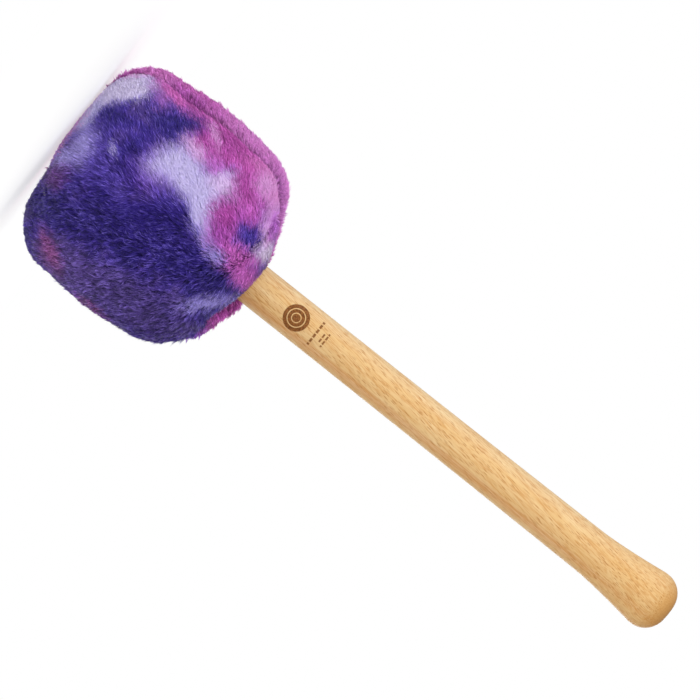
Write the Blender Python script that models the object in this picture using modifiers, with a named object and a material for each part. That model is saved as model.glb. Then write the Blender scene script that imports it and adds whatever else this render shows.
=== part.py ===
"""Soft-headed gong mallet: turned beech handle, wooden core, padding and a two-panel plush cover.

The mallet stands on the flat end of its head. The origin is the centre of that flat end and the
handle runs up along +Z. All lengths are in metres.
"""
import math

import bpy

# Clearances
fit_gap = 0.0003            # between pieces that touch or are glued
cloth_gap = 0.0003          # between cloth, padding and what they lie on

# Head cover, measured over the pile
head_length = 0.1175        # flat end to the hem at the handle
side_radius = 0.0575        # where the sides meet the rounded ends
side_bulge = 0.0019         # how far the stuffing swells the sides
flat_end_radius = 0.030     # flat part of the striking end
flat_corner_height = 0.030  # height of the round corner above the flat end
crown_depth = 0.0375        # depth of the crowned end round the handle
hem_round = 0.003           # roll of the hem beside the handle
cover_thickness = 0.007     # backing and pile together
seam_angle = math.radians(25)   # turn of the seam plane about the handle
seam_gap = 0.0003           # between the two panels
seam_depth = 0.0025         # valley that the seam draws into the pile
seam_half_width = 0.0035
seam_thread_radius = 0.0006

# Lining and padding
lining_thickness = 0.0008
felt_thickness = 0.005
side_padding = 0.0125       # foam round the felt, where the head's ends begin
end_padding = 0.0153        # foam between the core and the flat end
neck_padding = 0.0208       # foam between the core and the hem
hem_cord_radius = 0.00125

# Wooden core, which fills what the cover and the padding leave
core_chamfer = 0.002
core_web = 0.013            # wood left between the tenon's bore and the counterbore
counterbore_clearance = 0.0015
screw_recess = 0.0024       # how deep the screw's head lies below the core's face

# Handle
handle_top = 0.376          # overall length of the mallet
shaft_radius_at_head = 0.0108
shaft_radius_at_grip = 0.01155
knob_radius = 0.015
knob_dome_height = 0.0115
knob_flat_radius = 0.003
knob_land = 0.002           # cylindrical band round the widest part
flare_length = 0.0365
tenon_shoulder = 0.0028      # step between the shaft and its tenon
tenon_chamfer = 0.0012

# Core screw and washer
screw_radius = 0.0025
screw_bite = 0.0335         # length of screw in the tenon
screw_tip_length = 0.006
screw_head_radius = 0.005
screw_head_height = 0.0035
recess_width = 0.0011
recess_span = 0.0056
recess_depth = 0.0018
washer_radius = 0.009
washer_thickness = 0.0015

# Mesh fineness
round_steps = 40            # steps round every turned piece of the head and handle
hardware_steps = 24
corner_steps = 6
side_steps = 4
roll_steps = 3
knob_steps = 7
flare_steps = 7
shaft_steps = 6
dome_steps = 4
cord_sides = 8

# Worked out from the sizes above
hem_hole_radius = shaft_radius_at_head + cloth_gap
crown_flat_radius = hem_hole_radius + hem_round
lining_inset = cover_thickness + cloth_gap
padding_inset = lining_inset + lining_thickness + cloth_gap
core_base = padding_inset + end_padding + cloth_gap
core_top = head_length - padding_inset - neck_padding - cloth_gap
felt_radius = side_radius - padding_inset - side_padding - cloth_gap
core_radius = felt_radius - felt_thickness - fit_gap
counterbore_radius = washer_radius + counterbore_clearance
screw_seat = core_base + screw_recess + screw_head_height
washer_top = screw_seat + fit_gap + washer_thickness
counterbore_roof = washer_top + fit_gap
bore_floor = counterbore_roof + core_web
tenon_end = bore_floor + fit_gap
tenon_radius = shaft_radius_at_head - tenon_shoulder
shoulder_height = core_top + fit_gap
screw_tip = tenon_end + screw_bite
pilot_radius = screw_radius + fit_gap
pilot_top = screw_tip + 2 * fit_gap
neck_hole_radius = hem_hole_radius + 2 * hem_cord_radius + cloth_gap


def clear_scene():
    for old in list(bpy.data.objects):
        bpy.data.objects.remove(old, do_unlink=True)


def make_collection(name):
    collection = bpy.data.collections.new(name)
    bpy.context.scene.collection.children.link(collection)
    return collection


def make_material(name, colour, roughness, metallic=0.0):
    material = bpy.data.materials.new(name)
    material.use_nodes = True
    shader = material.node_tree.nodes["Principled BSDF"]
    shader.inputs["Base Color"].default_value = (*colour, 1.0)
    shader.inputs["Roughness"].default_value = roughness
    shader.inputs["Metallic"].default_value = metallic
    material.diffuse_color = (*colour, 1.0)
    return material


def add_object(name, mesh, collection, material, parent=None):
    piece = bpy.data.objects.new(name, mesh)
    mesh.materials.append(material)
    collection.objects.link(piece)
    piece.parent = parent
    return piece


def turned(name, outline, closed, collection, material, parent=None, steps=round_steps):
    """Turn an outline of (radius, height) points about Z. It runs down its outer side."""
    count = len(outline)
    edges = [(i, i + 1) for i in range(count - 1)]
    if closed:
        edges.append((count - 1, 0))
    mesh = bpy.data.meshes.new(name)
    phase = math.pi / steps     # the seam plane then crosses facets, not corners
    corners = [(radius * math.cos(phase), radius * math.sin(phase), height)
               for radius, height in outline]
    mesh.from_pydata(corners, edges, [])
    piece = add_object(name, mesh, collection, material, parent)
    screw = piece.modifiers.new("Turn", 'SCREW')
    screw.axis = 'Z'
    screw.steps = steps
    screw.render_steps = steps
    screw.use_merge_vertices = True
    screw.merge_threshold = 0.00001
    screw.use_smooth_shade = True
    return piece


def ellipse_arc(centre, across, upright, start, end, steps):
    """Points of an elliptic arc, by the angle from +radius towards +height."""
    points = []
    for i in range(steps + 1):
        angle = start + (end - start) * i / steps
        radius = centre[0] + across * math.cos(angle)
        height = centre[1] + upright * math.sin(angle)
        points.append((radius, height))
    return points


def head_outline(inset, hole_radius):
    """The stuffed head's outline from the centre of its flat end up to the hole at the handle."""
    wall = side_radius - inset
    side_top = head_length - crown_depth
    points = [(0.0, inset)]
    points += ellipse_arc((flat_end_radius, flat_corner_height), wall - flat_end_radius,
                          flat_corner_height - inset, -math.pi / 2, 0.0, corner_steps)
    for i in range(1, side_steps):
        share = i / side_steps
        swell = side_bulge * math.sin(math.pi * share)
        points.append((wall + swell, flat_corner_height + (side_top - flat_corner_height) * share))
    points += ellipse_arc((crown_flat_radius, side_top), wall - crown_flat_radius,
                          crown_depth - inset, 0.0, math.pi / 2, corner_steps)
    if hole_radius < crown_flat_radius:
        return points + [(hole_radius, head_length - inset)]
    while points[-2][0] < hole_radius:
        points.pop()
    (radius_a, height_a), (radius_b, height_b) = points[-2:]
    share = (radius_a - hole_radius) / (radius_a - radius_b)
    points[-1] = (hole_radius, height_a + (height_b - height_a) * share)
    return points


def outline_between(outline, low, high):
    """The stretch of an outline that lies between two heights, with its cut ends worked out."""
    stretch = []
    for (radius_a, height_a), (radius_b, height_b) in zip(outline, outline[1:]):
        for level in (low, high):
            if min(height_a, height_b) < level < max(height_a, height_b):
                share = (level - height_a) / (height_b - height_a)
                stretch.append((radius_a + (radius_b - radius_a) * share, level))
        if low <= height_b <= high:
            stretch.append((radius_b, height_b))
    return sorted(stretch, key=lambda point: point[1])


def hidden_cutter(cutter, cutters, head):
    for owner in cutter.users_collection:
        owner.objects.unlink(cutter)
    cutters.objects.link(cutter)
    cutter.parent = head
    cutter.hide_render = True
    cutter.display_type = 'WIRE'
    return cutter


def apply_cut(piece, cutter, operation):
    cut = piece.modifiers.new(cutter.name, 'BOOLEAN')
    cut.operation = operation
    cut.solver = 'EXACT'
    cut.object = cutter


def make_handle(collection, material):
    knob_base = handle_top - knob_dome_height
    dome = ellipse_arc((knob_flat_radius, knob_base), knob_radius - knob_flat_radius,
                       knob_dome_height, math.pi / 2, 0.0, knob_steps)
    outline = [(0.0, handle_top)] + dome
    flare_top = knob_base - knob_land
    for i in range(flare_steps):
        share = i / flare_steps
        swell = (knob_radius - shaft_radius_at_grip) * (1 - share) ** 1.5
        outline.append((shaft_radius_at_grip + swell, flare_top - flare_length * share))
    shaft_top = flare_top - flare_length
    for i in range(shaft_steps):
        rise = 1 - i / shaft_steps
        swell = (shaft_radius_at_grip - shaft_radius_at_head) * rise ** 2
        height = head_length + (shaft_top - head_length) * rise
        outline.append((shaft_radius_at_head + swell, height))
    outline += [
        (shaft_radius_at_head, shoulder_height),
        (tenon_radius, shoulder_height),
        (tenon_radius, tenon_end + tenon_chamfer),
        (tenon_radius - tenon_chamfer, tenon_end),
        (pilot_radius, tenon_end),
        (pilot_radius, pilot_top - screw_tip_length),
        (0.0, pilot_top + fit_gap),
    ]
    return turned("handle", outline, False, collection, material)


def make_core(collection, material, head):
    bore_radius = tenon_radius + fit_gap
    outline = [
        (core_radius - core_chamfer, core_top),
        (core_radius, core_top - core_chamfer),
        (core_radius, core_base + core_chamfer),
        (core_radius - core_chamfer, core_base),
        (counterbore_radius, core_base),
        (counterbore_radius, counterbore_roof),
        (pilot_radius, counterbore_roof),
        (pilot_radius, bore_floor),
        (bore_radius, bore_floor),
        (bore_radius, core_top),
    ]
    return turned("head_core", outline, True, collection, material, head)


def make_screw(collection, cutters, material, head):
    """Pan-head wood screw, driven upwards through the core into the tenon's end grain."""
    head_base = screw_seat - screw_head_height
    dome = ellipse_arc((0.0, screw_seat - screw_head_height / 2), screw_head_radius,
                       screw_head_height / 2, 0.0, -math.pi / 2, dome_steps)
    outline = [
        (0.0, screw_tip),
        (screw_radius, screw_tip - screw_tip_length),
        (screw_radius, screw_seat),
        (screw_head_radius, screw_seat),
    ] + dome
    screw = turned("core_screw", outline, False, collection, material, head, hardware_steps)
    for turn in (0, 1):
        bpy.ops.mesh.primitive_cube_add(size=1.0)
        slot = bpy.context.object
        slot.name = "recess_%d" % turn
        slot.dimensions = (recess_span, recess_width, 2 * recess_depth)
        slot.location = (0.0, 0.0, head_base)
        slot.rotation_euler = (0.0, 0.0, turn * math.pi / 2)
        apply_cut(screw, hidden_cutter(slot, cutters, head), 'DIFFERENCE')
    return screw


def make_washer(collection, material, head):
    hole = screw_radius + fit_gap
    base = washer_top - washer_thickness
    outline = [(washer_radius, washer_top), (washer_radius, base), (hole, base), (hole, washer_top)]
    return turned("core_washer", outline, True, collection, material, head, hardware_steps)


def make_felt_wrap(collection, material, head):
    inner = core_radius + fit_gap
    outline = [(felt_radius, core_top), (felt_radius, core_base), (inner, core_base), (inner, core_top)]
    return turned("felt_wrap", outline, True, collection, material, head)


def make_padding(collection, material, head):
    """Foam in three pieces: a sleeve round the felt, a pad on the flat end, a ring at the neck."""
    skin = head_outline(padding_inset, neck_hole_radius)
    inner = felt_radius + cloth_gap
    sleeve = outline_between(skin, core_base, core_top)
    sleeve.reverse()
    sleeve += [(inner, core_base), (inner, core_top)]
    turned("foam_sleeve", sleeve, True, collection, material, head)

    pad_top = core_base - cloth_gap
    pad = outline_between(skin, padding_inset, pad_top)
    pad.reverse()
    pad = [(0.0, pad_top)] + pad + [(0.0, padding_inset)]
    turned("foam_end_pad", pad, False, collection, material, head)

    ring_base = core_top + cloth_gap
    ring = outline_between(skin, ring_base, head_length)
    ring.reverse()
    ring.append((neck_hole_radius, ring_base))
    turned("foam_neck_ring", ring, True, collection, material, head)


def make_lining(collection, material, head):
    outer = head_outline(lining_inset, neck_hole_radius)
    inner = head_outline(lining_inset + lining_thickness, neck_hole_radius)
    outline = inner + list(reversed(outer))
    return turned("lining_bag", outline, False, collection, material, head)


def make_hem_cord(collection, material, head):
    cord_height = head_length - cover_thickness - cloth_gap - hem_cord_radius
    bpy.ops.mesh.primitive_torus_add(major_radius=hem_hole_radius + hem_cord_radius,
                                     minor_radius=hem_cord_radius, major_segments=round_steps,
                                     minor_segments=cord_sides, location=(0.0, 0.0, cord_height))
    cord = bpy.context.object
    cord.name = "hem_drawcord"
    cord.data.materials.append(material)
    cord.parent = head
    for owner in cord.users_collection:
        owner.objects.unlink(cord)
    collection.objects.link(cord)
    cord.data.shade_smooth()
    return cord


def make_seam_groove(cutters, head):
    """A diamond-section ring along the outline, which cuts the valley that the seam pulls in."""
    half = head_outline(0.0, crown_flat_radius)
    route = half + [(-radius, height) for radius, height in reversed(half[1:])]
    curve = bpy.data.curves.new("seam_groove_route", 'CURVE')
    curve.dimensions = '3D'
    curve.bevel_depth = seam_depth
    curve.bevel_resolution = 0
    spline = curve.splines.new('POLY')
    spline.points.add(len(route) - 1)
    for point, (radius, height) in zip(spline.points, route):
        point.co = (radius, 0.0, height, 1.0)
    spline.use_cyclic_u = True
    guide = bpy.data.objects.new("seam_groove_route", curve)
    cutters.objects.link(guide)
    evaluated = guide.evaluated_get(bpy.context.evaluated_depsgraph_get())
    mesh = bpy.data.meshes.new_from_object(evaluated)
    bpy.data.objects.remove(guide, do_unlink=True)
    groove = bpy.data.objects.new("seam_groove", mesh)
    cutters.objects.link(groove)
    groove.scale = (1.0, seam_half_width / seam_depth, 1.0)
    return hidden_cutter(groove, cutters, head)


def make_half_space(name, side, cutters, head):
    """A box that keeps one side of the seam plane, half a seam gap away from it."""
    size = 3 * side_radius
    bpy.ops.mesh.primitive_cube_add(size=size)
    box = bpy.context.object
    box.name = name
    box.location = (0.0, side * (size + seam_gap) / 2, head_length / 2)
    return hidden_cutter(box, cutters, head)


def cover_section():
    """The plush shell's cross-section, up its lining side and down its pile side."""
    inner = head_outline(cover_thickness, hem_hole_radius)
    roll = ellipse_arc((crown_flat_radius, head_length - hem_round), -hem_round, hem_round,
                       0.0, math.pi / 2, roll_steps)
    outer = head_outline(0.0, crown_flat_radius)
    return inner + roll + list(reversed(outer))[1:]


def make_cover(collection, cutters, front_material, back_material, head):
    """Two panels, the front one towards -Y in the head's own frame, a seam gap apart."""
    groove = make_seam_groove(cutters, head)
    for name, side, material in (("cover_front_panel", -1, front_material),
                                 ("cover_back_panel", 1, back_material)):
        panel = turned(name, cover_section(), False, collection, material, head)
        keeper = make_half_space(name + "_half", side, cutters, head)
        apply_cut(panel, keeper, 'INTERSECT')
        apply_cut(panel, groove, 'DIFFERENCE')


def make_seam_thread(collection, material, head):
    """One line of stitching in the crease, up both sides and across the flat end."""
    wall_lean = math.atan(seam_half_width / seam_depth)
    depth = seam_depth - (seam_thread_radius + fit_gap) / math.sin(wall_lean)
    start_radius = crown_flat_radius + seam_thread_radius
    half = [point for point in head_outline(depth, start_radius) if point[0] > 0.0]
    route = [(radius, height) for radius, height in reversed(half)]
    route += [(-radius, height) for radius, height in half]

    curve = bpy.data.curves.new("seam_thread", 'CURVE')
    curve.dimensions = '3D'
    curve.bevel_depth = seam_thread_radius
    curve.bevel_resolution = 1
    curve.use_fill_caps = True
    spline = curve.splines.new('POLY')
    spline.points.add(len(route) - 1)
    for point, (radius, height) in zip(spline.points, route):
        point.co = (radius, 0.0, height, 1.0)
    return add_object("seam_thread", curve, collection, material, head)


def build():
    clear_scene()
    mallet = make_collection("gong_mallet")
    cutters = make_collection("cutters")
    head = bpy.data.objects.new("head_frame", None)
    head.rotation_euler = (0.0, 0.0, seam_angle)
    mallet.objects.link(head)

    beech = make_material("oiled_beech", (0.78, 0.52, 0.25), 0.42)
    core_wood = make_material("core_wood", (0.62, 0.44, 0.24), 0.65)
    steel = make_material("zinc_plated_steel", (0.62, 0.62, 0.60), 0.32, 1.0)
    felt = make_material("wool_felt", (0.55, 0.52, 0.47), 0.95)
    foam = make_material("padding_foam", (0.80, 0.77, 0.66), 0.9)
    cotton = make_material("lining_cotton", (0.82, 0.80, 0.75), 0.9)
    plush_front = make_material("plush_indigo", (0.07, 0.04, 0.22), 0.95)
    plush_back = make_material("plush_magenta", (0.42, 0.10, 0.34), 0.95)
    thread = make_material("sewing_thread", (0.10, 0.04, 0.22), 0.7)
    cord = make_material("cotton_cord", (0.30, 0.22, 0.45), 0.85)

    make_handle(mallet, beech)
    make_core(mallet, core_wood, head)
    make_screw(mallet, cutters, steel, head)
    make_washer(mallet, steel, head)
    make_felt_wrap(mallet, felt, head)
    make_padding(mallet, foam, head)
    make_lining(mallet, cotton, head)
    make_hem_cord(mallet, cord, head)
    make_cover(mallet, cutters, plush_front, plush_back, head)
    make_seam_thread(mallet, thread, head)


build()
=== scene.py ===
import math
from functools import partial

import bmesh
import bpy
import numpy as np
from mathutils import Matrix, Vector, kdtree


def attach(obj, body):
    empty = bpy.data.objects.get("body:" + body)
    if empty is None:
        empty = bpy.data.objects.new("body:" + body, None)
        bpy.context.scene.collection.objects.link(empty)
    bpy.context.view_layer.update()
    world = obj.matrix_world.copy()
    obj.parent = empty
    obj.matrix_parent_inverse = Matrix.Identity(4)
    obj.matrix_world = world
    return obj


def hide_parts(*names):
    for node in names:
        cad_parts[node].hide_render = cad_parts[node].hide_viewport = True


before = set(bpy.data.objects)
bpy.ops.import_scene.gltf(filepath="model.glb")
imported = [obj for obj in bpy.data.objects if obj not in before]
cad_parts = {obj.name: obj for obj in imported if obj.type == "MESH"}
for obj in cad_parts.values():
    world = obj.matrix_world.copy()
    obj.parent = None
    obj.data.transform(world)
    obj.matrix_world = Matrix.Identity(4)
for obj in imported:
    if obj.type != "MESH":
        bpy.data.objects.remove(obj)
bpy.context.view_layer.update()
print("frame loaded:", len(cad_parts), "nodes")

mm = 0.001          # lengths below are in millimetres, and are scaled once, when a mesh is made
seed = 41


# Small helpers

# sRGB hex to the linear colour that shaders take
def hexColour(text):
    channels = [int(text[i:i + 2], 16) / 255 for i in (1, 3, 5)]
    return [c / 12.92 if c <= 0.04045 else ((c + 0.055) / 1.055) ** 2.4 for c in channels] + [1.0]


# Sets a node's inputs, by name or in order. A socket is linked, and a node gives its first output in use.
def setInputs(node, inputs):
    named = inputs if isinstance(inputs, dict) else dict(enumerate(inputs))
    for name, value in named.items():
        if isinstance(value, bpy.types.Node):
            value = next(output for output in value.outputs if output.enabled)
        if isinstance(value, bpy.types.NodeSocket):
            node.id_data.links.new(value, node.inputs[name])
        else:
            node.inputs[name].default_value = value


def addNode(tree, kind, inputs=(), **settings):
    node = tree.nodes.new("ShaderNode" + kind)
    for name, value in settings.items():
        setattr(node, name, value)
    setInputs(node, inputs)
    return node


# A new material, what adds a node to it, and its shader
def startMaterial(name, finish):
    material = bpy.data.materials.new(name)
    material.use_nodes = True
    shader = material.node_tree.nodes["Principled BSDF"]
    setInputs(shader, finish)
    return material, partial(addNode, material.node_tree), shader


def smoothStep(low, high, value):
    share = np.clip((value - low) / (high - low), 0.0, 1.0)
    return share * share * (3 - 2 * share)


# A smooth wandering value from about -1 to 1, with bumps about size millimetres across
def softWaves(points, size, key, count=7):
    dice = np.random.default_rng(seed + key)
    total = np.zeros(len(points))
    for _ in range(count):
        way = dice.normal(size=3)
        way *= 2 * math.pi / (size * dice.uniform(0.7, 1.5)) / np.linalg.norm(way)
        total += np.sin(points @ way + dice.uniform(0, 2 * math.pi))
    return total / math.sqrt(count)


def unit(vectors):
    return vectors / np.maximum(np.linalg.norm(vectors, axis=-1, keepdims=True), 1e-9)


def dot(first, second):
    return np.sum(first * second, -1, keepdims=True)


# Every new piece stands for one CAD node, which it hides, and takes the material that it is given
def linkPiece(name, mesh, material, node):
    piece = bpy.data.objects.new(name, mesh)
    mesh.materials.append(material)
    bpy.context.scene.collection.objects.link(piece)
    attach(piece, "root")
    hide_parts(node)
    return piece


def meshFromPoints(name, points, faces):
    mesh = bpy.data.meshes.new(name)
    mesh.from_pydata((np.asarray(points, float) * mm).tolist(), [], faces)
    mesh.validate()
    mesh.shade_smooth()
    return mesh


# Quads of a grid of points, counted along its rows. A closed one joins each row into a ring.
def gridFaces(rows, columns, start=0, closed=False):
    faces = []
    for i in range(rows - 1):
        row = start + i * columns
        for j in range(columns if closed else columns - 1):
            a, b = row + j, row + (j + 1) % columns
            faces.append((a, b, b + columns, a + columns))
    return faces


# Points and faces of a closed round tube along a path of points
def tubeAlong(path, radius, sides):
    path = np.asarray(path, float)
    ahead = unit(np.gradient(path, axis=0))
    aside = np.zeros_like(path)
    last = np.array([0.31, 0.52, 0.79])     # any direction that no path here starts along
    for i, way in enumerate(ahead):
        last = last - way * (last @ way)
        last /= np.linalg.norm(last)
        aside[i] = last
    above = np.cross(ahead, aside)
    turn = (np.arange(sides) * 2 * math.pi / sides)[None, :, None]
    radius = np.broadcast_to(np.asarray(radius, float), len(path))[:, None, None]
    points = path[:, None] + radius * (np.cos(turn) * aside[:, None] + np.sin(turn) * above[:, None])
    points = points.reshape(-1, 3)
    faces = gridFaces(len(path), sides, closed=True)
    faces.append(tuple(reversed(range(sides))))
    faces.append(tuple(range(len(points) - sides, len(points))))
    return points, faces


# The camera is level with the mallet, and turned so that the handle runs to the picture's lower right
cameraView = {
    "pixel": 0.489,                 # millimetres that a pixel covers at the handle's axis
    "distance": 3000.0,
    "aim": (-4.05, 174.0),          # what lies at the middle of the picture, across and up the mallet
    "handleRuns": (0.6223, 0.7828),     # how far down and to the right the handle goes in the picture
    "pictureWidth": 700, "sensorWidth": 36,
}


def makeCamera(view):
    lens = bpy.data.cameras.new("camera")
    lens.sensor_width = view["sensorWidth"]
    lens.lens = view["sensorWidth"] / view["pictureWidth"] * view["distance"] / view["pixel"]
    lens.clip_start, lens.clip_end = 0.05, 60
    camera = bpy.data.objects.new("camera", lens)
    bpy.context.scene.collection.objects.link(camera)
    down, across = view["handleRuns"]
    right, up, back = Vector((-down, 0, across)), Vector((-across, 0, -down)), Vector((0, -1, 0))
    place = Vector((view["aim"][0], -view["distance"], view["aim"][1])) * mm
    camera.matrix_world = Matrix(list(zip(right, up, back, place)) + [(0, 0, 0, 1)])
    bpy.context.scene.camera = camera


# Soft studio light, in metres: large lamps in front and to the left of the standing mallet, weaker ones
# to the right and behind. Share 1 lights a surface that faces the lamp so that its colour looks as written.
studio = {
    "lamps": {
        "keyLamp": {"place": (-1.5, -0.6, 0.2), "size": 1.0, "share": 0.68},
        "frontLamp": {"place": (0.0, -1.7, 0.25), "size": 1.3, "share": 0.64},
        "sideLamp": {"place": (1.4, -0.5, 0.15), "size": 1.1, "share": 0.2},
        "backLamp": {"place": (0.35, 1.4, 0.3), "size": 1.2, "share": 0.5},
    },
    "lampAim": (0, 0, 0.12),
    "roomLight": 0.52, "roomColour": "#FBFCFF",
    "floorSize": 12.0, "floorDrop": 0.0004, "floorColour": "#F6F5F3",
    "floorBounce": 0.5,             # how much of the floor's light comes back whatever shades it
    "floorShadow": 0.62,            # how much of the floor near the mallet answers to the lamps
    "shadowFades": (0.16, 0.6),     # how far from the mallet this starts and ends its fade
    "floorLevel": 0.68,             # how bright the lamps alone leave the bare floor
}


def makeLamp(name, settings):
    place, aim = Vector(settings["place"]), Vector(studio["lampAim"])
    light = bpy.data.lights.new(name, "AREA")
    light.shape = "DISK"
    light.size = settings["size"]
    light.energy = settings["share"] * math.pi ** 2 * (place - aim).length_squared
    lamp = bpy.data.objects.new(name, light)
    lamp.location = place
    lamp.rotation_mode = "QUATERNION"
    lamp.rotation_quaternion = (aim - place).to_track_quat("-Z", "Y")
    bpy.context.scene.collection.objects.link(lamp)


def makeRoom():
    world = bpy.data.worlds.new("room")
    bpy.context.scene.world = world
    world.use_nodes = True
    world.node_tree.nodes.clear()
    add = partial(addNode, world.node_tree)
    seen = add("LightPath").outputs["Is Camera Ray"]
    dim = add("Background", {"Color": hexColour(studio["roomColour"]), "Strength": studio["roomLight"]})
    white = add("Background", {"Color": (1, 1, 1, 1), "Strength": 1.0})
    mixed = add("MixShader", (seen, dim, white))
    add("OutputWorld", {"Surface": mixed})


# White paper, matt: it keeps the shadow near the mallet and runs out to plain white
def makeFloor():
    half = studio["floorSize"] / 2
    corners = [(-half, -half, 0), (half, -half, 0), (half, half, 0), (-half, half, 0)]
    mesh = bpy.data.meshes.new("floor")
    mesh.from_pydata(corners, [], [(0, 1, 2, 3)])
    floor = bpy.data.objects.new("floor", mesh)
    floor.location = (0, 0, -studio["floorDrop"])
    bpy.context.scene.collection.objects.link(floor)
    material, add, shader = startMaterial("whitePaperFloor", {
        "Base Color": hexColour(studio["floorColour"]), "Roughness": 0.9})
    seen = add("LightPath").outputs["Is Camera Ray"]
    place = add("TexCoord").outputs["Object"]
    away = add("VectorMath", (place,), operation="LENGTH")
    fadeStart, fadeEnd = studio["shadowFades"]
    near = add("MapRange", (away, fadeStart, fadeEnd, studio["floorShadow"], 0.0),
               interpolation_type="SMOOTHSTEP")
    plain = add("Math", (1.0, near), operation="SUBTRACT")
    shown = add("Mix", {0: seen, 2: studio["floorBounce"], 3: plain})
    # only the camera sees this white: it makes up what the low lamps leave out on the bare floor
    lost = add("Math", (near, 1 - studio["floorLevel"]), operation="MULTIPLY")
    gain = add("Math", (lost, plain), operation="DIVIDE")
    gain = add("Math", (gain, 1.0), operation="ADD")
    gain = add("Mix", {0: seen, 2: 1.0, 3: gain})
    white = add("Emission", {"Color": (1, 1, 1, 1), "Strength": gain})
    mixed = add("MixShader", (shown, shader, white))
    setInputs(material.node_tree.nodes["Material Output"], {"Surface": mixed})
    mesh.materials.append(material)


makeCamera(cameraView)
makeRoom()
makeFloor()
for lampName, lampSettings in studio["lamps"].items():
    makeLamp(lampName, lampSettings)
bpy.context.scene.view_settings.view_transform = "Standard"
print("camera, lamps and floor made")

# The stuffed head, on the same outline as the CAD cover. Seams are given in degrees from +X.
head = {
    "length": 117.5, "sideRadius": 57.5, "bulge": 1.9,
    "flatRadius": 30.0, "flatCorner": 30.0,
    "crownDepth": 37.5, "crownFlat": 14.1,
    "neckRadius": 11.3, "hemRoll": 2.6,
    "leftSeam": -155.0, "leftSeamAtEnd": -166.0,
    "rightSeam": 25.0, "rightSeamAtNeck": -32.0,    # this seam wanders as the hem draws it in
    "seamValley": 3.0, "seamWidth": 3.2,
    "pile": 4.2, "backing": 2.2,
    "lumps": 0.9,
    "sideways": 0.4,                # the stuffing sits a little off the handle's line
    "liftedEnd": 4.0,               # the flat end slopes up on its +X side
    "liftedFront": 2.4,             # its front edge stands off the floor
    "liftedLeft": 1.0,              # and so does its -X edge, a little
    "fullCorner": 0.2,              # the stuffing fills the corner at +X
    "raisedBack": 0.5, "tuckedFront": 2.8,          # at +X the back panel stands above the front one
    "ruffled": 2.2,                 # the back panel bunches up beside the handle
    # where the crown is pressed in: how far, at what x, how wide and how deep from front to back,
    # and the heights between which it comes in. An endless depth presses it in all the way through.
    "dents": {
        "leftShoulder": {"by": 4.3, "at": -34, "wide": 10.5, "deep": 34, "between": (70, 100)},
        "leftNeck": {"by": 2.6, "at": -21, "wide": 7, "deep": 26, "between": (90, 110)},
        "rightShoulder": {"by": 1.4, "at": 45, "wide": 12, "deep": math.inf, "between": (72, 96)},
    },
}


# Radius and height from the centre of the flat end round to the hem, and the share of the way at each point
def headOutline(inset):
    wall = head["sideRadius"] - inset
    sideTop = head["length"] - head["crownDepth"]
    turn = np.radians(np.linspace(-90, 0, 50))
    radius = [np.linspace(0, head["flatRadius"], 25)[:-1],
              head["flatRadius"] + (wall - head["flatRadius"]) * np.cos(turn)]
    height = [np.full(24, float(inset)), head["flatCorner"] + (head["flatCorner"] - inset) * np.sin(turn)]
    rise = np.linspace(0, 1, 40)[1:-1]
    radius.append(wall + head["bulge"] * np.sin(math.pi * rise))
    height.append(head["flatCorner"] + (sideTop - head["flatCorner"]) * rise)
    turn = np.radians(np.linspace(0, 90, 60))
    radius.append(head["crownFlat"] + (wall - head["crownFlat"]) * np.cos(turn))
    height.append(sideTop + (head["crownDepth"] - inset) * np.sin(turn))
    roll = min(head["hemRoll"], head["crownFlat"] - head["neckRadius"])
    turn = np.radians(np.linspace(90, 180, 10)[1:])
    radius.append(head["crownFlat"] + roll * np.cos(turn))
    height.append(head["length"] - inset - roll + roll * np.sin(turn))
    radius, height = np.concatenate(radius), np.concatenate(height)
    length = np.concatenate([[0], np.cumsum(np.hypot(np.diff(radius), np.diff(height)))])
    return radius, height, length / length[-1]


outlines = {}       # each is worked out once for its inset


# Where the two seams run, at a share of the way from the flat end's centre to the hem
def seamAngles(share):
    wander = smoothStep(0.76, 0.93, share)
    right = head["rightSeam"] + (head["rightSeamAtNeck"] - head["rightSeam"]) * wander
    shake = 2.0 * np.sin(share * 120) + 1.6 * np.sin(share * 290 + 1)
    right = right + shake * smoothStep(0.76, 0.82, share)
    wander = 1 - smoothStep(0.2, 0.46, share)
    left = head["leftSeam"] + (head["leftSeamAtEnd"] - head["leftSeam"]) * wander
    return left, right


# Millimetres round the handle to the nearer seam
def seamDistance(angle, share, radius):
    left, right = seamAngles(share)
    toLeft, toRight = np.abs((angle - left + 180) % 360 - 180), np.abs((angle - right + 180) % 360 - 180)
    return np.radians(np.minimum(np.minimum(toLeft, toRight), 90)) * radius


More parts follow.
